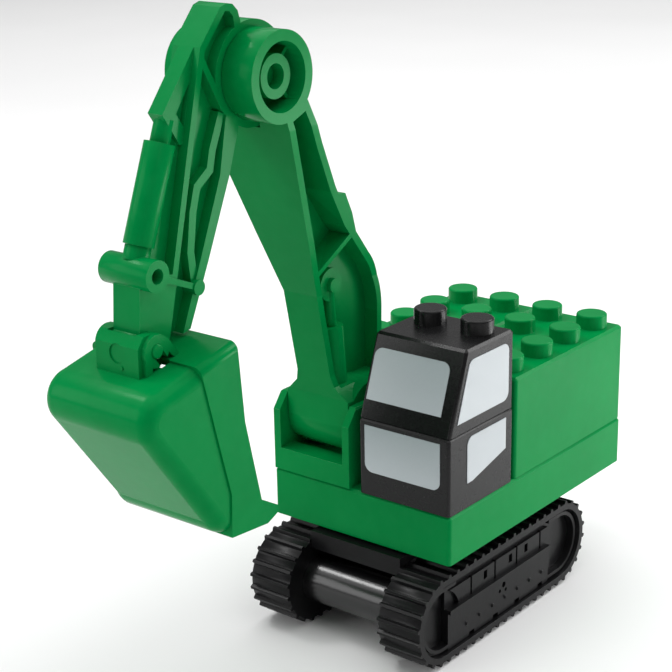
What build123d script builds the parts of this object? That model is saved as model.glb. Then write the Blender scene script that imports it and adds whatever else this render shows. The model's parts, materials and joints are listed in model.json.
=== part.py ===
from build123d import *
import os
from math import atan2, degrees, hypot

# Toy excavator. Millimetres, +Z up, the front faces -Y, +X is the operator's left (the cab side).
# The origin is the bottom centre of the whole toy's box. Most sketches use coordinates that are
# measured from the slew axis (x and y) and from the deck's top face or the ground (z).

# ---------------------------------------------------------------- driving dimensions
SLEW_X = 2.55
SLEW_Y = 26.8
DECK_TOP = 45.8
STUD_PITCH = 16.0
STUD_R = 4.75
STUD_H = 4.4
LOCK_STUD_R = 4.55
STUD_CORE = 3.0
RUNNING_GAP = 0.05
FACE_GAP = 0.3

# undercarriage
TRACK_INNER_X = 16.2
TRACK_OUTER_X = 30.5
TRACK_FRONT_Y = -32.4
TRACK_REAR_Y = 30.4
TRACK_Z = 14.1
TREAD_R = 12.6
GROUSER_H = 1.0
TREAD_INNER_R = 10.8
POD_WALL = 2.0
ROLLER_R = 6.5
ROLLER_W = 5.4
ROLLER_X = 22.7
ROLLER_Y = (-26.0, 24.0)
ROLLER_PIN_R = 1.2
TUBE_R = 6.8

# superstructure
DECK_HALF_W = 31.4
DECK_FRONT = -32.0
DECK_REAR = 62.9
DECK_H = 14.7
WALL = 2.0
BRICK_H = 30.8
BRICK_FRONT = 1.5
CAB_W = 31.1
CAB_REAR = 0.1
CAB_SEAM = 23.0
CAB_H = 46.2
CAB_LEAN = 8.3
EDGE = 0.8

# slewing joint
TURRET_R = 12.0
HUB_R = 8.0
CHASSIS_TOP = 30.2
CHASSIS_PLATE = 2.6
TURRET_TOP = 34.0

# digging arm: all of it is symmetric about the plane x = ARM_X
ARM_X = -17.2
FOOT = (-17.4, 17.0)
FOOT_R = 11.4
FOOT_HALF_W = 11.1
FOOT_PIN_R = 2.5
HUB = (-57.8, 122.3)
DRUM_R = 12.0
DRUM_HALF_W = 14.8
EYE_R = 13.9
STICK_HALF_W = 4.6
STICK_WEB = 1.3
STICK_PIN_R = 3.3
BUCKET_PIVOT = (-101.5, 60.2)
BUCKET_PIN_R = 1.9
BUCKET_HALF_W = 19.3
BUCKET_WALL = 1.8
HOSE_TUBE = (-99.5, 78.8)
HOSE_TUBE_R = 4.1
HOSE_TUBE_BORE = 2.0
HOSE_TUBE_HALF_W = 8.3

os.makedirs("parts", exist_ok=True)


# ---------------------------------------------------------------- planes and small sketch helpers
def level(z, base=0.0):
    """Horizontal plane at height z above the base, centred on the slew axis."""
    return Plane(origin=(SLEW_X, SLEW_Y, base + z))


def side(x, base=DECK_TOP):
    """Vertical plane at x whose sketch axes are (y, z); it extrudes towards +X."""
    return Plane(origin=(SLEW_X + x, SLEW_Y, base), x_dir=(0, 1, 0), z_dir=(1, 0, 0))


def front(y, base=DECK_TOP):
    """Vertical plane at y whose sketch axes are (x, z); it extrudes towards -Y."""
    return Plane(origin=(SLEW_X, SLEW_Y + y, base), x_dir=(1, 0, 0), z_dir=(0, -1, 0))


ARM = side(ARM_X)


def polygon(points, mode=Mode.ADD):
    Polygon(*points, align=None, mode=mode)


def circle_at(centre, radius, mode=Mode.ADD):
    with Locations(centre):
        Circle(radius, mode=mode)


def bar(start, end, width, mode=Mode.ADD):
    """Straight strip between two points of the sketch, with square ends."""
    length = hypot(end[0] - start[0], end[1] - start[1])
    angle = degrees(atan2(end[1] - start[1], end[0] - start[0]))
    middle = ((start[0] + end[0]) / 2, (start[1] + end[1]) / 2)
    with Locations(Location((middle[0], middle[1], 0), (0, 0, angle))):
        Rectangle(length, width, mode=mode)


def rectangle_between(low, high, mode=Mode.ADD):
    with Locations(((low[0] + high[0]) / 2, (low[1] + high[1]) / 2)):
        Rectangle(high[0] - low[0], high[1] - low[1], mode=mode)


def stadium(radius, mode=Mode.ADD):
    """Track-shaped outline in a side plane based at the ground."""
    with Locations(((TRACK_FRONT_Y + TRACK_REAR_Y) / 2, TRACK_Z)):
        SlotCenterToCenter(TRACK_REAR_Y - TRACK_FRONT_Y, 2 * radius, mode=mode)


def save(builder, name):
    builder.part.label = name
    export_step(builder.part, f"parts/{name}.step")


def stud_spots(columns, rows):
    """Stud centres, counted in half pitches from the slew axis."""
    return [(c * STUD_PITCH / 2, r * STUD_PITCH / 2) for c in columns for r in rows]


# ---------------------------------------------------------------- chassis between the tracks
BODY_FRONT = -24.6
BODY_BOTTOM = 8.0
BUMPER_Y = 34.6
BUMPER_DROP = 5.5
UNDERPLATE_T = 1.8
SCREW_R = 1.25
SCREW_HEAD_R = 2.4
SCREW_SPOTS = [(x, y) for x in (-11.0, 11.0) for y in (-19.0, 17.0)]
BODY_REAR = -BODY_FRONT - 2.0

with BuildPart() as chassis_frame:
    with BuildSketch(level(BODY_BOTTOM)):
        rectangle_between((-TRACK_INNER_X, BODY_FRONT), (TRACK_INNER_X, BODY_REAR))
    extrude(amount=CHASSIS_TOP - BODY_BOTTOM)
    with BuildSketch(level(CHASSIS_TOP - CHASSIS_PLATE)):
        rectangle_between((-TRACK_INNER_X, -BUMPER_Y), (TRACK_INNER_X, BUMPER_Y - 2.0))
    extrude(amount=CHASSIS_PLATE)
    with BuildSketch(level(CHASSIS_TOP - BUMPER_DROP)):
        for low_y, high_y in ((-BUMPER_Y, -BUMPER_Y + WALL), (BUMPER_Y - 4.0, BUMPER_Y - 2.0)):
            rectangle_between((-TRACK_INNER_X, low_y), (TRACK_INNER_X, high_y))
    extrude(amount=BUMPER_DROP)
    with BuildSketch(level(CHASSIS_TOP)):
        Circle(TURRET_R)
    extrude(amount=TURRET_TOP - CHASSIS_TOP)
    with BuildSketch(level(BODY_BOTTOM)):
        rectangle_between(
            (-TRACK_INNER_X + WALL, BODY_FRONT + WALL), (TRACK_INNER_X - WALL, BODY_REAR - WALL)
        )
    extrude(amount=CHASSIS_TOP - CHASSIS_PLATE - BODY_BOTTOM, mode=Mode.SUBTRACT)
    with BuildSketch(level(BODY_BOTTOM + UNDERPLATE_T)):
        with Locations(SCREW_SPOTS):
            Circle(3.0)
    extrude(amount=CHASSIS_TOP - CHASSIS_PLATE - BODY_BOTTOM - UNDERPLATE_T)
    with BuildSketch(level(BODY_BOTTOM + UNDERPLATE_T)):
        with Locations(SCREW_SPOTS):
            Circle(SCREW_R)
    extrude(amount=8.0, mode=Mode.SUBTRACT)
    with BuildSketch(level(BODY_BOTTOM)):
        Circle(HUB_R + RUNNING_GAP)
    extrude(amount=TURRET_TOP - BODY_BOTTOM, mode=Mode.SUBTRACT)
    chamfer(chassis_frame.edges().group_by(Axis.Z)[-1].sort_by(SortBy.LENGTH)[-1], 0.6)
save(chassis_frame, "chassis_frame")

with BuildPart() as chassis_underplate:
    with BuildSketch(level(BODY_BOTTOM)):
        rectangle_between(
            (-TRACK_INNER_X + WALL, BODY_FRONT + WALL), (TRACK_INNER_X - WALL, BODY_REAR - WALL)
        )
        with Locations(SCREW_SPOTS):
            Circle(SCREW_R, mode=Mode.SUBTRACT)
    extrude(amount=UNDERPLATE_T)
    with BuildSketch(level(BODY_BOTTOM)):
        with Locations(SCREW_SPOTS):
            Circle(SCREW_HEAD_R)
    extrude(amount=1.0, mode=Mode.SUBTRACT)
save(chassis_underplate, "chassis_underplate")

with BuildPart() as underplate_screws:
    with BuildSketch(level(BODY_BOTTOM)):
        with Locations(SCREW_SPOTS):
            Circle(SCREW_HEAD_R)
    extrude(amount=1.0)
    with BuildSketch(level(BODY_BOTTOM)):
        with Locations(SCREW_SPOTS):
            Circle(SCREW_R)
    extrude(amount=8.0)
    with BuildSketch(level(BODY_BOTTOM)):
        with Locations(SCREW_SPOTS):
            Rectangle(2.8, 0.6)
            Rectangle(0.6, 2.8)
    extrude(amount=0.6, mode=Mode.SUBTRACT)
save(underplate_screws, "underplate_screws")

for tube_name, tube_y in (("front_cross_tube", TRACK_FRONT_Y), ("rear_cross_tube", TRACK_REAR_Y)):
    with BuildPart() as cross_tube:
        with BuildSketch(side(-TRACK_INNER_X, 0)):
            circle_at((tube_y, TRACK_Z), TUBE_R)
            circle_at((tube_y, TRACK_Z), TUBE_R - 2.2, Mode.SUBTRACT)
        extrude(amount=2 * TRACK_INNER_X)
    save(cross_tube, tube_name)


# ---------------------------------------------------------------- track pods
GROUSER_BASE = 1.5
GROUSER_TIP = 0.8
RUN_GROUSERS = 15
ARC_GROUSERS = 10
SLOT_MARGIN = 0.9
COVER_BACK = 26.4
COVER_FACE = 28.2
PANEL_FACE = 29.2
PLATE_FACE = 29.5
RIDGE_FACE = 30.4
RIM_OUT_R = 9.8
RIM_IN_R = 8.7
RUN = TRACK_REAR_Y - TRACK_FRONT_Y


def grouser_places():
    """Foot point and outward angle of every grouser around the track."""
    places = []
    for i in range(RUN_GROUSERS):
        y = TRACK_FRONT_Y + (i + 0.5) * RUN / RUN_GROUSERS
        places.append(((y, TRACK_Z + TREAD_R), 90))
        places.append(((y, TRACK_Z - TREAD_R), -90))
    for i in range(ARC_GROUSERS):
        angle = 90 + (i + 0.5) * 180 / ARC_GROUSERS
        nose = Vector(TREAD_R, 0).rotate(Axis.Z, angle)
        tail = Vector(TREAD_R, 0).rotate(Axis.Z, angle + 180)
        places.append(((TRACK_FRONT_Y + nose.X, TRACK_Z + nose.Y), angle))
        places.append(((TRACK_REAR_Y + tail.X, TRACK_Z + tail.Y), angle + 180))
    return places


def grousers():
    for foot, angle in grouser_places():
        with Locations(Location((foot[0], foot[1], 0), (0, 0, angle - 90))):
            Polygon(
                (-GROUSER_BASE / 2, -0.4),
                (-GROUSER_BASE / 2, 0.1),
                (-GROUSER_TIP / 2, GROUSER_H),
                (GROUSER_TIP / 2, GROUSER_H),
                (GROUSER_BASE / 2, 0.1),
                (GROUSER_BASE / 2, -0.4),
                align=None,
            )


def pod_plane(hand, x):
    """Side plane at x on the right-hand (+1) pod or its mirror image on the left-hand (-1) pod."""
    if hand > 0:
        return side(x, 0)
    return Plane(origin=(SLEW_X - x, SLEW_Y, 0), x_dir=(0, 1, 0), z_dir=(1, 0, 0))


PIN_Z = ROLLER_R
BOSS_R = 2.6
PANEL_SPLITS = (-17.8, -5.3, 6.4, 19.5)
BOLT_SPOTS = [(-20.6 + 6.8 * i, TRACK_Z - 5.9) for i in range(7)]
SQUARE_SPOTS = [(-10.4, TRACK_Z + 5.4), (3.0, TRACK_Z + 5.4), (11.6, TRACK_Z + 5.4)]
NOTCH_SPOTS = [(split_y, TRACK_Z - 10.2) for split_y in PANEL_SPLITS]
PIN_HOLE_SPOTS = [(-0.9, TRACK_Z - 1.6, 0.9), (-3.0, TRACK_Z - 3.0, 0.6), (0.2, TRACK_Z - 3.6, 0.6)]
LOWER_PLATE_LEFT = -29.9
RIDGE_RIGHT = 23.6
RIDGE_LOW = 0.75
RIDGE_HIGH = 2.0

for hand, label in ((1, "cab_side"), (-1, "arm_side")):
    with BuildPart() as track_shell:
        with BuildSketch(pod_plane(hand, TRACK_INNER_X)):
            stadium(TREAD_R)
            grousers()
            stadium(TREAD_INNER_R, Mode.SUBTRACT)
        extrude(amount=hand * (TRACK_OUTER_X - TRACK_INNER_X))
        with BuildSketch(pod_plane(hand, TRACK_INNER_X)):
            stadium(TREAD_INNER_R)
        extrude(amount=hand * POD_WALL)
        with BuildSketch(pod_plane(hand, TRACK_INNER_X + POD_WALL)):
            for roller_y in ROLLER_Y:
                circle_at((roller_y, PIN_Z), BOSS_R)
        extrude(amount=hand * (ROLLER_X - ROLLER_W / 2 - FACE_GAP - TRACK_INNER_X - POD_WALL))
        with BuildSketch(pod_plane(hand, TRACK_INNER_X)):
            for roller_y in ROLLER_Y:
                circle_at((roller_y, PIN_Z), ROLLER_PIN_R)
        extrude(amount=hand * 5.0, mode=Mode.SUBTRACT)
        with BuildSketch(level(0)):
            for roller_y in ROLLER_Y:
                half = ROLLER_W / 2 + 0.4
                rectangle_between(
                    (hand * ROLLER_X - half, roller_y - ROLLER_R + SLOT_MARGIN - 1.0),
                    (hand * ROLLER_X + half, roller_y + ROLLER_R - SLOT_MARGIN + 1.0),
                )
        extrude(amount=TRACK_Z - TREAD_INNER_R + 1.0, mode=Mode.SUBTRACT)
    save(track_shell, f"{label}_track_shell")

    with BuildPart() as track_cover:
        with BuildSketch(pod_plane(hand, COVER_BACK)):
            stadium(TREAD_INNER_R - 0.1)
        extrude(amount=hand * (COVER_FACE - COVER_BACK))
        with BuildSketch(pod_plane(hand, ROLLER_X + ROLLER_W / 2 + FACE_GAP)):
            for roller_y in ROLLER_Y:
                circle_at((roller_y, PIN_Z), BOSS_R)
        extrude(amount=hand * (COVER_BACK - ROLLER_X - ROLLER_W / 2 - FACE_GAP))
        with BuildSketch(pod_plane(hand, COVER_FACE)):
            stadium(RIM_OUT_R)
            stadium(RIM_IN_R, Mode.SUBTRACT)
            rectangle_between((-26.0, TRACK_Z - 11), (24.0, TRACK_Z + 11), Mode.SUBTRACT)
        extrude(amount=hand * (PLATE_FACE - COVER_FACE))
        with BuildSketch(pod_plane(hand, COVER_FACE)):
            rectangle_between((-30.5, TRACK_Z + 1.5), (24.0, TRACK_Z + 7.7))
            for split_y in PANEL_SPLITS:
                rectangle_between(
                    (split_y - 0.4, TRACK_Z + 1.4), (split_y + 0.4, TRACK_Z + 8), Mode.SUBTRACT
                )
            for spot in SQUARE_SPOTS:
                rectangle_between(
                    (spot[0] - 0.9, spot[1] - 1.3), (spot[0] + 0.9, spot[1] + 1.3), Mode.SUBTRACT
                )
            circle_at((TRACK_FRONT_Y, TRACK_Z), RIM_IN_R - 0.2, Mode.SUBTRACT)
        extrude(amount=hand * (PANEL_FACE - COVER_FACE))
        with BuildSketch(pod_plane(hand, COVER_FACE)):
            rectangle_between((LOWER_PLATE_LEFT, TRACK_Z - 10.5), (24.0, TRACK_Z + 1.5))
            for spot in NOTCH_SPOTS:
                rectangle_between(
                    (spot[0] - 1.3, spot[1] - 0.6), (spot[0] + 1.3, spot[1] + 0.9), Mode.SUBTRACT
                )
            for spot_y, spot_z, radius in PIN_HOLE_SPOTS:
                circle_at((spot_y, spot_z), radius, Mode.SUBTRACT)
        extrude(amount=hand * (PLATE_FACE - COVER_FACE))
        with BuildSketch(pod_plane(hand, COVER_FACE)):
            rectangle_between((LOWER_PLATE_LEFT, TRACK_Z + RIDGE_LOW), (RIDGE_RIGHT, TRACK_Z + RIDGE_HIGH))
        extrude(amount=hand * (RIDGE_FACE - COVER_FACE))
        with BuildSketch(pod_plane(hand, COVER_FACE)):
            for end_y in (TRACK_FRONT_Y, TRACK_REAR_Y):
                circle_at((end_y, TRACK_Z), RIM_IN_R)
            rectangle_between((LOWER_PLATE_LEFT, 0), (27.0, 2 * TRACK_Z), Mode.SUBTRACT)
        extrude(amount=-hand * 1.2, mode=Mode.SUBTRACT)
        with BuildSketch(pod_plane(hand, PLATE_FACE)):
            for spot in BOLT_SPOTS:
                circle_at(spot, 0.7)
        extrude(amount=hand * 0.5, taper=30)
        with BuildSketch(pod_plane(hand, ROLLER_X)):
            for roller_y in ROLLER_Y:
                circle_at((roller_y, PIN_Z), ROLLER_PIN_R)
        extrude(amount=hand * (COVER_BACK + 0.8 - ROLLER_X), mode=Mode.SUBTRACT)
    save(track_cover, f"{label}_track_cover")

    for roller_y, end in zip(ROLLER_Y, ("front", "rear")):
        with BuildPart() as roller:
            with BuildSketch(pod_plane(hand, ROLLER_X - ROLLER_W / 2)):
                circle_at((roller_y, PIN_Z), ROLLER_R)
                circle_at((roller_y, PIN_Z), ROLLER_R - 1.6, Mode.SUBTRACT)
            extrude(amount=hand * ROLLER_W)
            with BuildSketch(pod_plane(hand, ROLLER_X - 1.0)):
                circle_at((roller_y, PIN_Z), ROLLER_R - 1.0)
            extrude(amount=hand * 2.0)
            with BuildSketch(pod_plane(hand, ROLLER_X - ROLLER_W / 2)):
                circle_at((roller_y, PIN_Z), 2.4)
            extrude(amount=hand * ROLLER_W)
            with BuildSketch(pod_plane(hand, ROLLER_X - ROLLER_W / 2)):
                circle_at((roller_y, PIN_Z), ROLLER_PIN_R + RUNNING_GAP)
            extrude(amount=hand * ROLLER_W, mode=Mode.SUBTRACT)
            rim_edges = roller.edges().filter_by(GeomType.CIRCLE).filter_by(
                lambda e: abs(e.radius - ROLLER_R) < 0.01
            )
            fillet(rim_edges, 0.5)
        save(roller, f"{label}_{end}_roller")

with BuildPart() as roller_pins:
    for hand in (1, -1):
        with BuildSketch(pod_plane(hand, TRACK_INNER_X + 0.4)):
            for roller_y in ROLLER_Y:
                circle_at((roller_y, PIN_Z), ROLLER_PIN_R)
        extrude(amount=hand * (COVER_BACK + 0.8 - TRACK_INNER_X - 0.4))
save(roller_pins, "roller_pins")


# ---------------------------------------------------------------- deck and slewing joint
ROOF = 2.4
UNDER_ROOF = DECK_TOP - ROOF
BRICK_STUDS = stud_spots((-3, -1, 1, 3), (1, 3, 5, 7))
FRONT_STUDS = stud_spots((-3, 1, 3), (-1, -3))

with BuildPart() as deck:
    with BuildSketch(level(-DECK_H, DECK_TOP)):
        rectangle_between((-DECK_HALF_W, DECK_FRONT), (DECK_HALF_W, DECK_REAR))
    extrude(amount=DECK_H)
    fillet(deck.edges().filter_by(Axis.Z), 1.0)
    chamfer(deck.faces().sort_by(Axis.Z)[-1].edges(), EDGE)
    with BuildSketch(level(-DECK_H, DECK_TOP)):
        rectangle_between(
            (-DECK_HALF_W + WALL, DECK_FRONT + WALL), (DECK_HALF_W - WALL, DECK_REAR - WALL)
        )
    extrude(amount=DECK_H - ROOF, mode=Mode.SUBTRACT)
    with BuildSketch(level(0, DECK_TOP)):
        with Locations(BRICK_STUDS + FRONT_STUDS):
            Circle(LOCK_STUD_R)
            Circle(LOCK_STUD_R - 1.4, mode=Mode.SUBTRACT)
    extrude(amount=STUD_H)
    with BuildSketch(level(-ROOF, DECK_TOP)):
        Circle(SCREW_R)
    extrude(amount=ROOF, mode=Mode.SUBTRACT)
save(deck, "deck")

WASHER_TOP = CHASSIS_TOP - CHASSIS_PLATE - 0.1
WASHER_T = 1.6
with BuildPart() as slew_hub:
    with BuildSketch(level(UNDER_ROOF)):
        Circle(TURRET_R - 0.5)
    extrude(amount=-(UNDER_ROOF - TURRET_TOP - 0.1))
    with BuildSketch(level(WASHER_TOP)):
        Circle(HUB_R)
    extrude(amount=UNDER_ROOF - WASHER_TOP)
    with BuildSketch(level(WASHER_TOP)):
        Circle(SCREW_R)
    extrude(amount=10.0, mode=Mode.SUBTRACT)
save(slew_hub, "slew_hub")

with BuildPart() as slew_retainer:
    with BuildSketch(level(WASHER_TOP - WASHER_T)):
        Circle(TURRET_R - 2.0)
        Circle(SCREW_R, mode=Mode.SUBTRACT)
    extrude(amount=WASHER_T)
save(slew_retainer, "slew_retainer_washer")

with BuildPart() as slew_screw:
    with BuildSketch(level(WASHER_TOP - WASHER_T)):
        Circle(SCREW_HEAD_R)
    extrude(amount=-1.4)
    with BuildSketch(level(WASHER_TOP - WASHER_T)):
        Circle(SCREW_R)
    extrude(amount=WASHER_T + 10.0)
    with BuildSketch(level(WASHER_TOP - WASHER_T - 1.4)):
        Rectangle(2.8, 0.6)
        Rectangle(0.6, 2.8)
    extrude(amount=0.7, mode=Mode.SUBTRACT)
save(slew_screw, "slew_screw")


# ---------------------------------------------------------------- rear body bricks
BRICK_TUBE_R = STUD_PITCH / 2 * 2 ** 0.5 - LOCK_STUD_R - 0.02
BRICK_ROOF = 2.0

for label, columns, low_x, high_x in (
    ("arm_side_body_brick", (-3, -1), -DECK_HALF_W + 0.3, -0.1),
    ("cab_side_body_brick", (1, 3), 0.1, DECK_HALF_W - 0.3),
):
    tube_x = (low_x + high_x) / 2
    middle_x = sum(columns) / len(columns) * STUD_PITCH / 2
    with BuildPart() as brick:
        with BuildSketch(level(0, DECK_TOP)):
            rectangle_between((low_x, BRICK_FRONT), (high_x, DECK_REAR))
        extrude(amount=BRICK_H)
        fillet(brick.edges().filter_by(Axis.Z), 1.0)
        chamfer(brick.faces().sort_by(Axis.Z)[-1].edges(), EDGE)
        with BuildSketch(level(0, DECK_TOP)):
            rectangle_between((low_x + 1.6, BRICK_FRONT + 1.6), (high_x - 1.6, DECK_REAR - 1.6))
        extrude(amount=BRICK_H - BRICK_ROOF, mode=Mode.SUBTRACT)
        with BuildSketch(level(0, DECK_TOP)):
            with Locations([(middle_x, r * STUD_PITCH) for r in (1, 2, 3)]):
                Circle(BRICK_TUBE_R)
                Circle(BRICK_TUBE_R - 1.2, mode=Mode.SUBTRACT)
        extrude(amount=BRICK_H - BRICK_ROOF)
        with BuildSketch(level(BRICK_H, DECK_TOP)):
            with Locations(stud_spots(columns, (1, 3, 5, 7))):
                Circle(STUD_R)
        extrude(amount=STUD_H)
        fillet(brick.faces().sort_by(Axis.Z)[-8:].edges(), 0.7)
        with BuildSketch(level(BRICK_H - BRICK_ROOF, DECK_TOP)):
            with Locations(stud_spots(columns, (1, 3, 5, 7))):
                Circle(STUD_R - 1.6)
        extrude(amount=STUD_CORE, mode=Mode.SUBTRACT)
    save(brick, label)


# ---------------------------------------------------------------- cab
CAB_STUDS = stud_spots((1, 3), (-1,))
SEAM_CHAMFER = 0.8

with BuildPart() as cab_lower:
    with BuildSketch(level(0, DECK_TOP)):
        rectangle_between((0.2, DECK_FRONT), (CAB_W, CAB_REAR))
    extrude(amount=CAB_SEAM)
    fillet(cab_lower.edges().filter_by(Axis.Z), 1.0)
    chamfer(cab_lower.faces().sort_by(Axis.Z)[-1].edges(), SEAM_CHAMFER)
    with BuildSketch(level(0, DECK_TOP)):
        rectangle_between((0.2 + 1.8, DECK_FRONT + 1.8), (CAB_W - 1.8, CAB_REAR - 1.8))
    extrude(amount=CAB_SEAM - 1.8, mode=Mode.SUBTRACT)
    with BuildSketch(level(0, DECK_TOP)):
        with Locations((STUD_PITCH, -STUD_PITCH)):
            Circle(BRICK_TUBE_R)
            Circle(BRICK_TUBE_R - 1.2, mode=Mode.SUBTRACT)
    extrude(amount=CAB_SEAM - 1.8)
    with BuildSketch(level(CAB_SEAM, DECK_TOP)):
        with Locations(CAB_STUDS):
            Circle(LOCK_STUD_R)
    extrude(amount=STUD_H)
save(cab_lower, "cab_lower_block")

with BuildPart() as cab_upper:
    with BuildSketch(side(0.2)):
        polygon(
            [
                (DECK_FRONT + 0.3, CAB_SEAM),
                (CAB_REAR - 0.2, CAB_SEAM),
                (CAB_REAR - 0.2, CAB_H),
                (DECK_FRONT + 0.3 + CAB_LEAN, CAB_H),
            ]
        )
    extrude(amount=CAB_W - 0.2)
    lean_edges = cab_upper.faces().sort_by(Axis.Y)[0].edges().filter_by(Axis.X, reverse=True)
    back_edges = cab_upper.faces().sort_by(Axis.Y)[-1].edges().filter_by(Axis.Z)
    fillet(lean_edges + back_edges, 1.0)
    chamfer(cab_upper.faces().sort_by(Axis.Z)[-1].edges(), 0.7)
    with BuildSketch(side(0.2 + 1.8)):
        polygon(
            [
                (DECK_FRONT + 2.3, CAB_SEAM),
                (CAB_REAR - 2.0, CAB_SEAM),
                (CAB_REAR - 2.0, CAB_H - 2.0),
                (DECK_FRONT + 1.8 + CAB_LEAN, CAB_H - 2.0),
            ]
        )
    extrude(amount=CAB_W - 0.2 - 3.6, mode=Mode.SUBTRACT)
    with BuildSketch(level(CAB_H, DECK_TOP)):
        with Locations(CAB_STUDS):
            Circle(STUD_R)
    extrude(amount=STUD_H)
    fillet(cab_upper.faces().sort_by(Axis.Z)[-2:].edges(), 0.7)
    with BuildSketch(level(CAB_H - 2.0, DECK_TOP)):
        with Locations(CAB_STUDS):
            Circle(STUD_R - 1.6)
    extrude(amount=STUD_CORE, mode=Mode.SUBTRACT)
save(cab_upper, "cab_upper_block")

PRINT_T = 0.2
PRINT_ROUND = 2.6
lean_height = CAB_H - CAB_SEAM
lean_length = hypot(lean_height, CAB_LEAN)
LEAN_PLANE = Plane(
    origin=(SLEW_X, SLEW_Y + DECK_FRONT + 0.3, DECK_TOP + CAB_SEAM),
    x_dir=(1, 0, 0),
    z_dir=(0, -lean_height / lean_length, CAB_LEAN / lean_length),
)


SIDE_FACE = side(CAB_W)


def window(points, rounded):
    """Panel outline in the sketch, with the corners whose numbers are in 'rounded' made round."""
    panel = Polygon(*points, align=None)
    corners = [panel.vertices().sort_by_distance(points[i])[0] for i in rounded]
    fillet(corners, PRINT_ROUND)


with BuildPart() as front_upper_window:
    with BuildSketch(LEAN_PLANE):
        window([(1.5, 20.4), (26.9, 20.4), (26.9, 5.4), (1.5, 5.4)], (0, 1))
    extrude(amount=PRINT_T)
save(front_upper_window, "front_upper_window")

with BuildPart() as front_lower_window:
    with BuildSketch(front(DECK_FRONT)):
        window([(2.4, 21.2), (28.1, 21.2), (28.1, 7.2), (2.4, 7.2)], (2, 3))
    extrude(amount=PRINT_T)
save(front_lower_window, "front_lower_window")

with BuildPart() as side_upper_window:
    with BuildSketch(SIDE_FACE):
        window([(-22.2, 43.2), (-2.8, 43.2), (-2.8, 26.2), (-28.2, 26.2)], (0, 1, 2))
    extrude(amount=PRINT_T)
save(side_upper_window, "side_upper_window")

with BuildPart() as side_lower_window:
    with BuildSketch(SIDE_FACE):
        window([(-23.3, 20.9), (-3.9, 20.9), (-3.9, 11.6), (-20.8, 7.4), (-23.3, 7.4)], (0,))
    extrude(amount=PRINT_T)
save(side_lower_window, "side_lower_window")


# ---------------------------------------------------------------- boom bracket on the deck
BRACKET_LOW_X = -31.1
BRACKET_HIGH_X = -3.4
CHEEK_T = 2.4
BRACKET_FRONT = -32.2
BRACKET_REAR = -0.6
BRACKET_BASE = 5.2
SOCKET_H = STUD_H + 0.05

with BuildPart() as boom_bracket:
    with BuildSketch(side(BRACKET_LOW_X)):
        polygon(
            [
                (BRACKET_FRONT, 0),
                (BRACKET_REAR, 0),
                (BRACKET_REAR, 23.6),
                (-28.3, 23.6),
                (BRACKET_FRONT, 18.7),
            ]
        )
    extrude(amount=BRACKET_HIGH_X - BRACKET_LOW_X)
    chamfer(boom_bracket.faces().sort_by(Axis.Z)[-1].edges().filter_by(Axis.Y), 0.5)
    with BuildSketch(side(BRACKET_LOW_X + CHEEK_T)):
        rectangle_between((-25.8, BRACKET_BASE), (BRACKET_REAR + 1.0, 30.0))
        rectangle_between((-40.0, 6.8), (-25.0, 30.0))
        rectangle_between((-6.0, 8.0), (BRACKET_REAR + 5.0, 30.0))
        circle_at(FOOT, FOOT_R + 0.4)
    extrude(amount=BRACKET_HIGH_X - BRACKET_LOW_X - 2 * CHEEK_T, mode=Mode.SUBTRACT)
    with BuildSketch(side(BRACKET_LOW_X)):
        circle_at(FOOT, FOOT_PIN_R)
    extrude(amount=BRACKET_HIGH_X - BRACKET_LOW_X, mode=Mode.SUBTRACT)
    with BuildSketch(level(0, DECK_TOP)):
        with Locations(stud_spots((-3,), (-1, -3))):
            Circle(LOCK_STUD_R + RUNNING_GAP)
    extrude(amount=SOCKET_H, mode=Mode.SUBTRACT)
save(boom_bracket, "boom_bracket")

with BuildPart() as boom_pivot_pin:
    with BuildSketch(side(BRACKET_LOW_X)):
        circle_at(FOOT, FOOT_PIN_R)
    extrude(amount=BRACKET_HIGH_X - BRACKET_LOW_X)
    chamfer(boom_pivot_pin.edges().filter_by(GeomType.CIRCLE), 0.3)
save(boom_pivot_pin, "boom_pivot_pin")


# ---------------------------------------------------------------- boom
BOOM_FLANGE = 2.2
BOOM_WEB = 1.5
FORK_INNER = 4.9
FORK_WEB = 7.0
FORK_POCKET_R = 14.5
RING_WALL = 2.9
DISH_FLOOR = 6.5
SPOKE_TOP = 10.9
BOSS_TOP = 12.45
BOSS_OUT_R = 5.8
PIN_BOSS = (-25.7, 57.8)
BARREL_TOP = (-24.6, 45.3)
BARREL_FOOT = (-22.9, 26.0)
BACK_STEP = [(-31.9, 86.2), (-28.3, 86.0), (-27.6, 84.9), (-24.0, 79.5), (-21.0, 73.3), (-25.5, 77.0)]


with BuildLine() as boom_edge:
    Polyline(
        (-6.0, 17.0), (-28.8, 17.0), (-28.8, 25.0), (-35.4, 57.0), (-57.0, 111.5), (-48.0, 115.1),
        (-41.4, 102.7), (-33.1, 88.8), (-25.0, 77.5), (-13.3, 65.2),
    )
    ThreePointArc((-13.3, 65.2), (-7.5, 57.0), (-5.5, 46.0))
    Line((-5.5, 46.0), (-6.0, 17.0))
BOOM_OUTLINE = make_face(boom_edge.edges(), mode=Mode.PRIVATE)


def boom_pocket():
    add(BOOM_OUTLINE)
    offset(amount=-BOOM_FLANGE, mode=Mode.REPLACE)
    rectangle_between((-40.0, 0.0), (0.0, 28.0), Mode.SUBTRACT)


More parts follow.
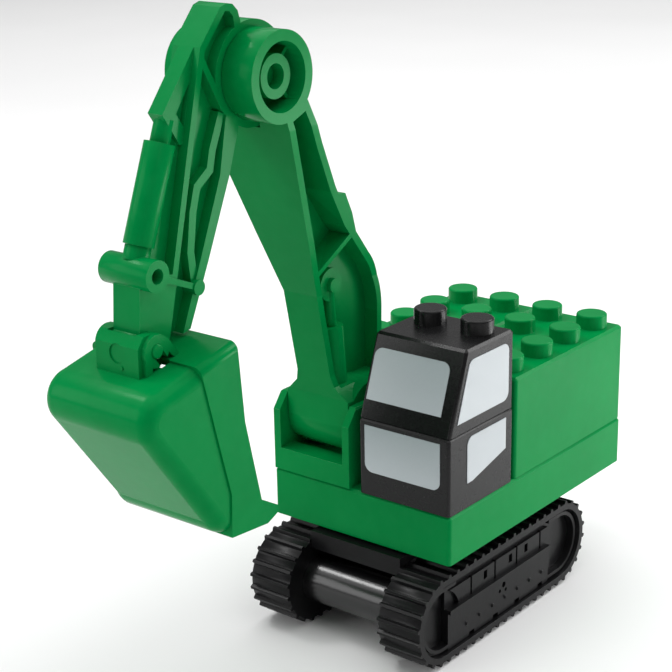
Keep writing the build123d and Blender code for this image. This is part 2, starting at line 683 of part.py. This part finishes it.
with BuildPart() as boom:
    with BuildSketch(ARM):
        add(BOOM_OUTLINE)
    extrude(amount=16.0, both=True)
    for hand in (1, -1):
        with BuildSketch(side(ARM_X + hand * BOOM_WEB)):
            boom_pocket()
            bar((-39.0, 61.8), (-20.0, 74.6), 1.6, Mode.SUBTRACT)
            circle_at(HUB, 18.0, Mode.SUBTRACT)
        extrude(amount=hand * 16.0, mode=Mode.SUBTRACT)
        with BuildSketch(side(ARM_X + hand * FORK_WEB)):
            boom_pocket()
            circle_at(HUB, 18.5, Mode.INTERSECT)
        extrude(amount=hand * 16.0, mode=Mode.SUBTRACT)
    with BuildSketch(ARM):
        polygon(BACK_STEP)
    extrude(amount=16.0, both=True)
    with BuildSketch(front(0)):
        polygon(
            [
                (ARM_X + hand * half_w, z)
                for hand, half_w, z in (
                    (1, FOOT_HALF_W, 15), (1, FOOT_HALF_W, 24.5), (1, 6.9, 28.6), (1, 6.0, 32),
                    (1, 6.0, 57), (1, 9.3, 75), (1, 12.65, 95), (1, 14.8, 108), (1, 14.8, 140),
                    (-1, 14.8, 140), (-1, 14.8, 108), (-1, 12.65, 95), (-1, 9.3, 75), (-1, 6.0, 57),
                    (-1, 6.0, 32), (-1, 6.9, 28.6), (-1, FOOT_HALF_W, 24.5), (-1, FOOT_HALF_W, 15),
                )
            ]
        )
    extrude(amount=80.0, mode=Mode.INTERSECT)
    with BuildSketch(ARM):
        circle_at(FOOT, FOOT_R)
    extrude(amount=FOOT_HALF_W, both=True)
    with BuildSketch(ARM):
        circle_at(HUB, DRUM_R)
    extrude(amount=DRUM_HALF_W, both=True)
    for hand in (1, -1):
        for start, finish, radius in (
            (PIN_BOSS, BARREL_TOP, 1.6),
            (BARREL_TOP, BARREL_FOOT, 3.4),
        ):
            lift = BOOM_WEB + 0.8
            direction = Vector(0, finish[0] - start[0], finish[1] - start[1])
            axis_plane = Plane(
                origin=(SLEW_X + ARM_X + hand * lift, SLEW_Y + start[0], DECK_TOP + start[1]),
                x_dir=(1, 0, 0),
                z_dir=direction,
            )
            with BuildSketch(axis_plane):
                Circle(radius)
            extrude(amount=direction.length)
        with BuildSketch(side(ARM_X)):
            circle_at(PIN_BOSS, 4.8)
        extrude(amount=hand * 3.4)
        with BuildSketch(side(ARM_X)):
            circle_at(PIN_BOSS, 2.0)
        extrude(amount=hand * 4.8)
        with BuildSketch(side(ARM_X + hand * DISH_FLOOR)):
            circle_at(HUB, DRUM_R - RING_WALL)
        extrude(amount=hand * 10.0, mode=Mode.SUBTRACT)
        with BuildSketch(side(ARM_X + hand * DISH_FLOOR)):
            circle_at(HUB, BOSS_OUT_R)
        extrude(amount=hand * (BOSS_TOP - DISH_FLOOR))
        with BuildSketch(side(ARM_X + hand * DISH_FLOOR)):
            for spoke_angle in (45, 135):
                reach = Vector(DRUM_R - RING_WALL / 2, 0).rotate(Axis.Z, spoke_angle)
                bar((HUB[0] - reach.X, HUB[1] - reach.Y), (HUB[0] + reach.X, HUB[1] + reach.Y), 1.0)
        extrude(amount=hand * (SPOKE_TOP - DISH_FLOOR))
    with BuildSketch(ARM):
        circle_at(HUB, FORK_POCKET_R)
        polygon([(-44.0, 112.0), (-60.0, 108.6), (-80.0, 108.0), (-80.0, 140.0), (-44.0, 140.0)])
    extrude(amount=FORK_INNER, both=True, mode=Mode.SUBTRACT)
    with BuildSketch(ARM):
        circle_at(HUB, STICK_PIN_R)
        circle_at(FOOT, FOOT_PIN_R + RUNNING_GAP)
    extrude(amount=20.0, both=True, mode=Mode.SUBTRACT)
save(boom, "boom")

with BuildPart() as stick_pivot_pin:
    with BuildSketch(ARM):
        circle_at(HUB, STICK_PIN_R)
    extrude(amount=9.0, both=True)
    chamfer(stick_pivot_pin.edges().filter_by(GeomType.CIRCLE), 0.3)
save(stick_pivot_pin, "stick_pivot_pin")


# ---------------------------------------------------------------- stick
RIB_TOP = (-76.9, 131.4)
RIB_FOOT = (-94.5, 60.2)
HEAD_WALL = 1.8
BARREL_START = (-88.0, 109.0)
BARREL_END = (-97.3, 84.9)
TIE_BOSS = (-81.9, 71.2)
HOSE = [
    (-69.3, 114.0), (-73.3, 105.0), (-74.5, 100.2), (-79.5, 96.8),
    (-81.4, 90.8), (-82.9, 80.5), TIE_BOSS,
]


def stick_cylinder(start, finish, radius):
    """Round bar in the arm's middle plane between two side-view points."""
    run = Vector(0, finish[0] - start[0], finish[1] - start[1])
    spot = (SLEW_X + ARM_X, SLEW_Y + start[0], DECK_TOP + start[1])
    with BuildSketch(Plane(origin=spot, x_dir=(1, 0, 0), z_dir=run)) as section:
        Circle(radius)
    extrude(section.sketch, amount=run.length)


with BuildPart() as stick:
    with BuildSketch(ARM):
        polygon(
            [
                RIB_TOP, RIB_FOOT, (-86.0, 60.4), (-77.2, 77.6),
                (-68.2, 97.6), (-64.0, 113.0), (-62.5, 136.0), (-68.0, 139.8),
            ]
        )
        polygon([(-81.8, 109.6), (-87.6, 110.2), (-99.5, 78.8), (-89.0, 79.0)])
    extrude(amount=STICK_WEB, both=True)
    with BuildSketch(ARM):
        polygon([RIB_TOP, RIB_FOOT, (-92.6, 60.2), (-75.0, 131.0)])
        polygon(
            [
                (-63.2, 111.2), (-67.9, 97.6), (-76.9, 77.6), (-84.9, 60.9),
                (-87.7, 60.3), (-79.9, 78.3), (-71.4, 98.3), (-68.2, 114.1),
            ]
        )
        polygon(
            [
                (-76.9, 131.4), (-68.9, 140.4), (-66.6, 141.1), (-64.4, 140.7), (-62.5, 138.9), (-61.6, 136.2),
                (-62.0, 130.0), (-63.8, 134.5), (-64.3, 137.6), (-65.6, 139.0), (-67.2, 139.2), (-75.5, 130.0),
            ]
        )
        bar((-76.8, 129.0), (-69.0, 114.9), HEAD_WALL)
        circle_at(HUB, EYE_R)
        polygon([(-102.0, 79.0), (-103.2, 63.0), (-103.2, 57.0), (-94.5, 57.6), (-94.4, 60.2), (-90.4, 76.6)])
        circle_at(BUCKET_PIVOT, 4.1)
    extrude(amount=STICK_HALF_W, both=True)
    with BuildSketch(ARM):
        polygon([RIB_TOP, (-89.1, 116.4), (-87.9, 114.7), (-83.5, 108.0), (-81.0, 108.0), (-75.2, 130.0)])
    extrude(amount=2.5, both=True)
    for hand in (1, -1):
        with BuildSketch(side(ARM_X + hand * 1.0)):
            polygon([(-79.0, 122.8), (-84.3, 115.9), (-81.8, 112.2)])
        extrude(amount=hand * 4.0, mode=Mode.SUBTRACT)
        with BuildSketch(side(ARM_X)):
            circle_at(TIE_BOSS, 2.0)
        extrude(amount=hand * 5.6)
        with BuildSketch(side(ARM_X + hand * 3.4)):
            bar((-97.0, 77.6), TIE_BOSS, 1.6)
        extrude(amount=hand * 1.8)
        with BuildSketch(side(ARM_X)):
            with BuildLine():
                hose_run = Polyline(*HOSE)
            trace(hose_run, line_width=2.5)
        extrude(amount=hand * 4.0)
    stick_cylinder(BARREL_START, (-85.8, 114.6), 2.6)
    stick_cylinder(BARREL_START, BARREL_END, 4.0)
    stick_cylinder(BARREL_END, (-98.6, 81.4), 3.4)
    with BuildSketch(ARM):
        circle_at(HOSE_TUBE, HOSE_TUBE_R)
    extrude(amount=HOSE_TUBE_HALF_W, both=True)
    with BuildSketch(ARM):
        circle_at(HOSE_TUBE, HOSE_TUBE_BORE)
        circle_at(HUB, STICK_PIN_R + RUNNING_GAP)
        circle_at(BUCKET_PIVOT, BUCKET_PIN_R)
    extrude(amount=20.0, both=True, mode=Mode.SUBTRACT)
save(stick, "stick")

with BuildPart() as bucket_pin:
    with BuildSketch(ARM):
        circle_at(BUCKET_PIVOT, BUCKET_PIN_R)
    extrude(amount=9.1, both=True)
    fillet(bucket_pin.edges().filter_by(GeomType.CIRCLE), 0.4)
save(bucket_pin, "bucket_pin")


# ---------------------------------------------------------------- bucket
BUCKET_MAIN_HALF_W = 18.8
BUCKET_ROUND = 4.2
BAND_H = 0.6
EAR_INNER = 4.85
EAR_OUTER = 8.7
EAR_PLATE_HALF_W = 7.4
EAR_RING_R = 4.3
EAR_FRONT = -106.9


with BuildLine() as bucket_edge:
    crown = Polyline((-81.8, 37.7), (-83.7, 59.3), (-97.0, 56.2), (-109.9, 53.4))
    nose = ThreePointArc(crown @ 1, (-116.05, 48.4), (-114.7, 40.9))
    belly = Line(nose @ 1, (-94.6, 13.4))
    heel = ThreePointArc(belly @ 1, (-92.4, 10.2), (-88.2, 8.2))
    Polyline(heel @ 1, (-74.3, 7.1), (-70.3, 8.5), (-69.6, 10.1), (-76.4, 14.1), (-81.8, 37.7))
BUCKET_OUTLINE = make_face(bucket_edge.edges(), mode=Mode.PRIVATE)


with BuildPart() as bucket_cavity:
    with BuildSketch(ARM):
        add(BUCKET_OUTLINE)
        offset(amount=-BUCKET_WALL, mode=Mode.REPLACE)
        polygon(
            [
                (-95.0, 54.8), (-83.0, 57.6), (-60.0, 60.0), (-60.0, 11.5),
                (-69.0, 11.0), (-75.0, 9.0), (-88.0, 10.1), (-93.0, 20.0),
            ]
        )
    extrude(amount=BUCKET_MAIN_HALF_W - BUCKET_WALL, both=True)
    cavity_flanks = bucket_cavity.faces().filter_by(Axis.X)
    fillet(cavity_flanks.edges().filter_by(lambda e: e.center().Y < SLEW_Y - 96.0), 2.4)

with BuildPart() as bucket_band:
    with BuildSketch(ARM):
        polygon(
            [
                (-83.7, 59.3 + BAND_H), (-97.5, 56.1 + BAND_H), (-94.2, 43.7), (-90.6, 29.8),
                (-87.9, 19.5), (-88.4, 8.2 - BAND_H), (-74.2, 7.1 - BAND_H), (-69.9, 8.3),
                (-69.6, 10.1), (-76.4, 14.1), (-81.8, 37.7),
            ]
        )
    extrude(amount=BUCKET_HALF_W, both=True)
    band_flanks = bucket_band.faces().filter_by(Axis.X)
    fillet(band_flanks.edges().filter_by(lambda e: e.center().Z > DECK_TOP + 56.5), 2.4)

with BuildPart() as bucket:
    with BuildSketch(ARM):
        add(BUCKET_OUTLINE)
    extrude(amount=BUCKET_MAIN_HALF_W, both=True)
    flanks = bucket.faces().filter_by(Axis.X)
    fillet(flanks.edges().filter_by(lambda e: e.center().Y < SLEW_Y - 85.0), BUCKET_ROUND)
    add(bucket_band.part)
    add(bucket_cavity.part, mode=Mode.SUBTRACT)
    with BuildSketch(ARM):
        polygon(
            [
                (EAR_FRONT, 52.6), (EAR_FRONT, 61.8), (-104.9, 64.3),
                (-104.2, 63.6), (EAR_FRONT + 0.9, 61.4), (EAR_FRONT + 0.9, 52.6),
            ]
        )
    extrude(amount=EAR_PLATE_HALF_W, both=True)
    with BuildSketch(front(EAR_FRONT)):
        circle_at((ARM_X, 59.4), 2.65)
    extrude(amount=-0.4, mode=Mode.SUBTRACT)
    with BuildSketch(front(EAR_FRONT)):
        circle_at((ARM_X + 1.4, 55.9), 0.6)
    extrude(amount=0.3)
    for hand in (1, -1):
        with BuildSketch(side(ARM_X + hand * EAR_INNER)):
            polygon(
                [
                    (EAR_FRONT, 52.6), (EAR_FRONT, 61.8), (-104.7, 64.5), (-101.5, 64.5),
                    (-101.5, 60.0), (-103.6, 56.4), (-103.6, 52.6),
                ]
            )
        extrude(amount=hand * (EAR_PLATE_HALF_W - EAR_INNER))
        with BuildSketch(side(ARM_X + hand * EAR_INNER)):
            circle_at(BUCKET_PIVOT, EAR_RING_R)
            polygon(
                [
                    (-101.5, 64.5), (-100.0, 64.4), (-97.4, 62.6), (-93.9, 57.9),
                    (-94.6, 56.9), (-95.9, 57.5), (-98.6, 60.6),
                ]
            )
            polygon([(-105.5, 61.0), (-105.5, 53.2), (-103.6, 53.6), (-103.0, 58.0)])
        extrude(amount=hand * (EAR_OUTER - EAR_INNER))
        with BuildSketch(side(ARM_X + hand * EAR_INNER)):
            circle_at(BUCKET_PIVOT, BUCKET_PIN_R + RUNNING_GAP)
            bar(BUCKET_PIVOT, (-97.1, 53.9), 3.2)
        extrude(amount=hand * (EAR_OUTER - EAR_INNER), mode=Mode.SUBTRACT)
save(bucket, "bucket")
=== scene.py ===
import json
import math

import bpy
from mathutils import Euler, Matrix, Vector

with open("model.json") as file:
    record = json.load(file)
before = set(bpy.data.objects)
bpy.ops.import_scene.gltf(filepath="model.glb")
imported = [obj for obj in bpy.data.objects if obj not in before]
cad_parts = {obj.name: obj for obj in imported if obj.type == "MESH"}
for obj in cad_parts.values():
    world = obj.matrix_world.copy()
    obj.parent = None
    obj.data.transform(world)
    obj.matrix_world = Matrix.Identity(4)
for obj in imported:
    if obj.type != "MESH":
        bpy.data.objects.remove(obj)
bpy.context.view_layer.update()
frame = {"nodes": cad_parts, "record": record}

nodes = frame["nodes"]
MM = 0.001

# Noise scales, in cycles per metre of the piece.
DRIFT_SCALE = 45.0
PATCH_SCALE = 260.0
FINE_SCALE = 700.0
SMEAR_SCALE = 30.0
SCRATCH_SCALE = 55.0
PEEL_SCALE = 420.0
GRAIN_SCALE = 2600.0
PRINT_SCREEN_SCALE = 900.0
PRINT_GLOSS_SCALE = 300.0
PRINT_GRAIN_SCALE = 1800.0
ZINC_TONE_SCALE = 500.0
ZINC_GLOSS_SCALE = 900.0
ZINC_GRAIN_SCALE = 2200.0
PAPER_SCALE = 3.0

# Scratches: noise stretched by these factors and turned by these angles.
SCRATCH_STRETCH = (1.0, 38.0, 9.0)
SCRATCH_TURN = (0.4, 0.9, 0.3)

UNIT = (0.0, 1.0)
WHITE = (1.0, 1.0, 1.0)
PLASTIC_IOR = 1.5


# ---------------------------------------------------------------- shader helpers
def new_material(name):
    material = bpy.data.materials.new(name)
    material.use_nodes = True
    tree = material.node_tree
    tree.nodes.clear()
    output = tree.nodes.new("ShaderNodeOutputMaterial")
    shader = tree.nodes.new("ShaderNodeBsdfPrincipled")
    tree.links.new(shader.outputs["BSDF"], output.inputs["Surface"])
    return material, tree, shader


def noise(tree, scale, detail, roughness=0.5, stretched=False):
    """Noise in the piece's own coordinates, drawn out into streaks if stretched."""
    coords = tree.nodes.new("ShaderNodeTexCoord")
    texture = tree.nodes.new("ShaderNodeTexNoise")
    texture.inputs["Scale"].default_value = scale
    texture.inputs["Detail"].default_value = detail
    texture.inputs["Roughness"].default_value = roughness
    source = coords.outputs["Object"]
    if stretched:
        mapping = tree.nodes.new("ShaderNodeMapping")
        mapping.inputs["Scale"].default_value = SCRATCH_STRETCH
        mapping.inputs["Rotation"].default_value = SCRATCH_TURN
        tree.links.new(source, mapping.inputs["Vector"])
        source = mapping.outputs["Vector"]
    tree.links.new(source, texture.inputs["Vector"])
    return texture.outputs["Fac"]


def remap(tree, value, span, to_span):
    """Maps the value's span onto to_span, clamped at both ends."""
    node = tree.nodes.new("ShaderNodeMapRange")
    node.inputs["From Min"].default_value, node.inputs["From Max"].default_value = span
    node.inputs["To Min"].default_value, node.inputs["To Max"].default_value = to_span
    tree.links.new(value, node.inputs["Value"])
    return node.outputs["Result"]


def math_node(tree, operation, first, second):
    """One math node; sums are clamped to 0..1."""
    node = tree.nodes.new("ShaderNodeMath")
    node.operation = operation
    node.use_clamp = operation == "ADD"
    for socket, value in zip(node.inputs, (first, second)):
        if isinstance(value, (int, float)):
            socket.default_value = value
        else:
            tree.links.new(value, socket)
    return node.outputs["Value"]


def mix_colour(tree, factor, first, second):
    """Blends two colours, each a tuple or a node's output."""
    node = tree.nodes.new("ShaderNodeMix")
    node.data_type = "RGBA"
    tree.links.new(factor, node.inputs["Factor"])
    for socket, value in ((node.inputs["A"], first), (node.inputs["B"], second)):
        if isinstance(value, tuple):
            socket.default_value = (*value, 1.0)
        else:
            tree.links.new(value, socket)
    return node.outputs["Result"]


def add_bump(tree, shader, height, strength, distance_mm):
    bump = tree.nodes.new("ShaderNodeBump")
    bump.inputs["Strength"].default_value = strength
    bump.inputs["Distance"].default_value = distance_mm * MM
    tree.links.new(height, bump.inputs["Height"])
    tree.links.new(bump.outputs["Normal"], shader.inputs["Normal"])


# ---------------------------------------------------------------- materials
def moulded_plastic(name, base, shade, worn, roughness, wear=0.06, peel=0.05, gloss=0.25, tint=WHITE):
    """Injection-moulded plastic: tone drift, orange-peel bump, handling scratches, worn patches."""
    material, tree, shader = new_material(name)
    drift = remap(tree, noise(tree, DRIFT_SCALE, 2.0), (0.35, 0.65), UNIT)
    colour = mix_colour(tree, drift, base, shade)
    patches = remap(tree, noise(tree, PATCH_SCALE, 4.0), (0.4, 0.7), UNIT)
    rubbed = math_node(tree, "MULTIPLY", patches, wear)
    colour = mix_colour(tree, rubbed, colour, worn)
    tree.links.new(colour, shader.inputs["Base Color"])

    fine = remap(tree, noise(tree, FINE_SCALE, 3.0), (0.3, 0.7), (-0.012, 0.012))
    smears = remap(tree, noise(tree, SMEAR_SCALE, 3.0), (0.35, 0.65), (-0.01, 0.015))
    streaks = noise(tree, SCRATCH_SCALE, 2.0, roughness=0.4, stretched=True)
    scratches = remap(tree, streaks, (0.66, 0.74), (0.0, 0.03))
    dulling = math_node(tree, "MULTIPLY", rubbed, 0.2)
    rough = math_node(tree, "ADD", fine, roughness)
    for part in (smears, scratches, dulling):
        rough = math_node(tree, "ADD", rough, part)
    tree.links.new(rough, shader.inputs["Roughness"])

    peel_height = math_node(tree, "MULTIPLY", noise(tree, PEEL_SCALE, 2.0), 0.8)
    grain_height = math_node(tree, "MULTIPLY", noise(tree, GRAIN_SCALE, 2.0), 0.2)
    add_bump(tree, shader, math_node(tree, "ADD", peel_height, grain_height), peel, 0.4)
    shader.inputs["Specular IOR Level"].default_value = gloss
    shader.inputs["Specular Tint"].default_value = (*tint, 1.0)
    shader.inputs["IOR"].default_value = PLASTIC_IOR
    return material


def window_print(name, upper, lower):
    """Pale grey pad print: lighter towards the lower edge, with a faint screen grain."""
    material, tree, shader = new_material(name)
    coords = tree.nodes.new("ShaderNodeTexCoord")
    split = tree.nodes.new("ShaderNodeSeparateXYZ")
    tree.links.new(coords.outputs["Generated"], split.inputs["Vector"])
    fade = remap(tree, split.outputs["Z"], UNIT, (1.0, 0.0))
    screen = math_node(tree, "MULTIPLY", noise(tree, PRINT_SCREEN_SCALE, 2.0), 0.12)
    fade = math_node(tree, "ADD", fade, screen)
    tree.links.new(mix_colour(tree, fade, upper, lower), shader.inputs["Base Color"])
    rough = remap(tree, noise(tree, PRINT_GLOSS_SCALE, 3.0), (0.3, 0.7), (0.3, 0.34))
    tree.links.new(rough, shader.inputs["Roughness"])
    add_bump(tree, shader, noise(tree, PRINT_GRAIN_SCALE, 2.0), 0.02, 0.1)
    return material


def zinc_plate():
    """Zinc-plated steel of the hidden screws and pins."""
    material, tree, shader = new_material("zinc_plate")
    tone = remap(tree, noise(tree, ZINC_TONE_SCALE, 3.0), (0.3, 0.7), UNIT)
    colour = mix_colour(tree, tone, (0.52, 0.53, 0.55), (0.38, 0.39, 0.42))
    tree.links.new(colour, shader.inputs["Base Color"])
    rough = remap(tree, noise(tree, ZINC_GLOSS_SCALE, 3.0), (0.3, 0.7), (0.25, 0.42))
    tree.links.new(rough, shader.inputs["Roughness"])
    add_bump(tree, shader, noise(tree, ZINC_GRAIN_SCALE, 2.0), 0.1, 0.1)
    shader.inputs["Metallic"].default_value = 1.0
    return material


green = moulded_plastic(
    "green_plastic",
    base=(0.0, 0.225, 0.050),
    shade=(0.0, 0.208, 0.046),
    worn=(0.03, 0.34, 0.11),
    roughness=0.2,
    gloss=0.07,
    tint=(0.42, 1.0, 0.6),
)
# Lighter green for the bevelled edge strips: its lighter base is a painted highlight along the edges,
# and its light patches are edge wear.
green_edge_highlight_and_wear = moulded_plastic(
    "green_edge_highlight_and_wear",
    base=(0.01, 0.31, 0.085),
    shade=(0.005, 0.28, 0.075),
    worn=(0.10, 0.52, 0.22),
    roughness=0.26,
    wear=0.8,
    gloss=0.4,
)
black = moulded_plastic(
    "black_plastic",
    base=(0.0060, 0.0060, 0.0064),
    shade=(0.0080, 0.0080, 0.0085),
    worn=(0.018, 0.018, 0.019),
    roughness=0.26,
    gloss=0.22,
)
track_black = moulded_plastic(
    "track_plastic",
    base=(0.0040, 0.0040, 0.0045),
    shade=(0.0060, 0.0060, 0.0065),
    worn=(0.03, 0.03, 0.031),
    roughness=0.3,
    peel=0.08,
    gloss=0.15,
)
# Lighter black for the bevelled edge strips: its lighter base is a painted highlight along the edges,
# and its light patches are edge wear.
black_edge_highlight_and_wear = moulded_plastic(
    "black_edge_highlight_and_wear",
    base=(0.012, 0.012, 0.013),
    shade=(0.010, 0.010, 0.011),
    worn=(0.060, 0.060, 0.062),
    roughness=0.3,
    wear=0.8,
    gloss=0.4,
)
# Lighter black for the track's bevelled edge strips: its lighter base is a painted highlight along the
# edges, and its light patches are edge wear.
track_edge_highlight_and_wear = moulded_plastic(
    "track_edge_highlight_and_wear",
    base=(0.008, 0.008, 0.009),
    shade=(0.007, 0.007, 0.008),
    worn=(0.050, 0.050, 0.052),
    roughness=0.34,
    wear=0.8,
    gloss=0.4,
)
tube_black = moulded_plastic(
    "tube_plastic",
    base=(0.0050, 0.0050, 0.0055),
    shade=(0.0070, 0.0070, 0.0075),
    worn=(0.03, 0.03, 0.031),
    roughness=0.22,
    gloss=0.55,
)
front_print = window_print("front_window_print", upper=(0.33, 0.385, 0.40), lower=(0.47, 0.52, 0.545))
side_print = window_print("side_window_print", upper=(0.44, 0.48, 0.50), lower=(0.49, 0.53, 0.55))
zinc = zinc_plate()

SLOT_MATERIALS = {
    "green_plastic": green,
    "black_plastic": black,
    "roller_plastic": track_black,
    "window_print": front_print,
    "fastener_steel": zinc,
}
NODE_MATERIALS = {
    "arm_side_track_shell": track_black,
    "cab_side_track_shell": track_black,
    "arm_side_track_cover": track_black,
    "cab_side_track_cover": track_black,
    "chassis_frame": track_black,
    "chassis_underplate": track_black,
    "front_cross_tube": tube_black,
    "rear_cross_tube": tube_black,
    "side_upper_window": side_print,
    "side_lower_window": side_print,
}

for part in frame["record"]["subparts"]:
    material = NODE_MATERIALS.get(part["node"], SLOT_MATERIALS[part["material_slot"]])
    for slot in nodes[part["node"]].material_slots:
        slot.material = material


# ---------------------------------------------------------------- softened edges, painted edge highlight and edge wear
# Each plastic's lighter copy for its bevelled edges: painted edge highlight together with edge wear.
EDGE_HIGHLIGHT_AND_WEAR_MATERIALS = {green: green_edge_highlight_and_wear, black: black_edge_highlight_and_wear, track_black: track_edge_highlight_and_wear}
WELD_DISTANCE = 0.002 * MM
EDGE_SEGMENTS = 2
EDGE_ANGLE = math.radians(32)
EDGE_SLOT = 1

# Bevel widths in millimetres.
ROUNDING = {
    "deck": 0.6,
    "arm_side_body_brick": 0.45,
    "cab_side_body_brick": 0.45,
    "boom_bracket": 0.55,
    "boom": 0.3,
    "stick": 0.3,
    "bucket": 0.35,
    "cab_lower_block": 0.45,
    "cab_upper_block": 0.45,
    "chassis_frame": 0.3,
    "arm_side_track_shell": 0.15,
    "cab_side_track_shell": 0.15,
    "arm_side_track_cover": 0.15,
    "cab_side_track_cover": 0.15,
}


def soften(node, width):
    """Rounds a moulding's hard edges a little and gives the rounded strips the lighter edge material: a
    painted highlight along the edges, with edge wear.
    """
    piece = nodes[node]
    weld = piece.modifiers.new("join", "WELD")
    weld.merge_threshold = WELD_DISTANCE
    # The added slot holds the lighter edge material: painted edge highlight with edge wear.
    piece.data.materials.append(EDGE_HIGHLIGHT_AND_WEAR_MATERIALS[piece.data.materials[0]])
    bevel = piece.modifiers.new("round", "BEVEL")
    bevel.width = width * MM
    bevel.segments = EDGE_SEGMENTS
    bevel.limit_method = "ANGLE"
    bevel.angle_limit = EDGE_ANGLE
    bevel.use_clamp_overlap = True
    bevel.harden_normals = True
    bevel.miter_outer = "MITER_ARC"
    bevel.material = EDGE_SLOT


for node, width in ROUNDING.items():
    soften(node, width)


# ---------------------------------------------------------------- floor, light and camera
FLOOR_HALF = 9.0
FLOOR_Z = -0.0002
FLOOR_TONES = ((0.86, 0.86, 0.86), (0.82, 0.82, 0.82))
FLOOR_ROUGHNESS = 0.75
WORLD_STRENGTH = 0.27
MIDDLE = (0.0, 0.0, 0.09)

# Name, place, target, width and height, power in watts.
SOFTBOXES = (
    ("overhead", (0.0, 0.5, 1.5), (0.0, 0.5, 0.0), (3.2, 3.2), 42.0),
    ("upper_left", (-0.69, -0.16, 1.11), MIDDLE, (0.26, 0.18), 2.6),
    ("upper_back", (0.42, 1.0, 0.88), MIDDLE, (0.6, 0.45), 5.0),
    ("side_right", (0.22, 0.22, 0.07), (0.03, 0.05, 0.04), (0.14, 0.10), 0.34),
    ("front_left", (-0.75, -0.95, 0.5), MIDDLE, (0.85, 0.65), 5.0),
)

CAMERA_PLACE = (0.272345, -0.353143, 0.239313)
CAMERA_TURN = (71.592, 1.03, 38.195)
CAMERA_LENS = 89.73
CAMERA_SENSOR = 36.0
CAMERA_CLIP_START = 0.01


def stage_floor():
    mesh = bpy.data.meshes.new("studio_floor")
    corners = ((-1, -1), (1, -1), (1, 1), (-1, 1))
    mesh.from_pydata([(x * FLOOR_HALF, y * FLOOR_HALF, FLOOR_Z) for x, y in corners], [], [(0, 1, 2, 3)])
    floor = bpy.data.objects.new("studio_floor", mesh)
    bpy.context.scene.collection.objects.link(floor)
    material, tree, shader = new_material("floor_paper")
    tone = remap(tree, noise(tree, PAPER_SCALE, 2.0), (0.3, 0.7), UNIT)
    tree.links.new(mix_colour(tree, tone, *FLOOR_TONES), shader.inputs["Base Color"])
    shader.inputs["Roughness"].default_value = FLOOR_ROUGHNESS
    mesh.materials.append(material)


def softbox(name, place, target, size, power):
    """A rectangular lamp that faces its target and that the camera does not see."""
    lamp = bpy.data.lights.new(name, "AREA")
    lamp.shape = "RECTANGLE"
    lamp.size, lamp.size_y = size
    lamp.energy = power
    holder = bpy.data.objects.new(name, lamp)
    holder.location = place
    facing = Vector(target) - Vector(place)
    holder.rotation_euler = facing.to_track_quat("-Z", "Y").to_euler()
    holder.visible_camera = False
    bpy.context.scene.collection.objects.link(holder)


stage_floor()
for lamp_values in SOFTBOXES:
    softbox(*lamp_values)

world = bpy.data.worlds.new("studio")
world.use_nodes = True
background = world.node_tree.nodes["Background"]
background.inputs["Color"].default_value = (*WHITE, 1.0)
background.inputs["Strength"].default_value = WORLD_STRENGTH
bpy.context.scene.world = world
bpy.context.scene.view_settings.view_transform = "Standard"

camera_data = bpy.data.cameras.new("camera")
camera_data.lens = CAMERA_LENS
camera_data.sensor_width = CAMERA_SENSOR
camera_data.clip_start = CAMERA_CLIP_START
camera = bpy.data.objects.new("camera", camera_data)
camera.location = CAMERA_PLACE
camera.rotation_euler = Euler([math.radians(angle) for angle in CAMERA_TURN])
bpy.context.scene.collection.objects.link(camera)
bpy.context.scene.camera = camera
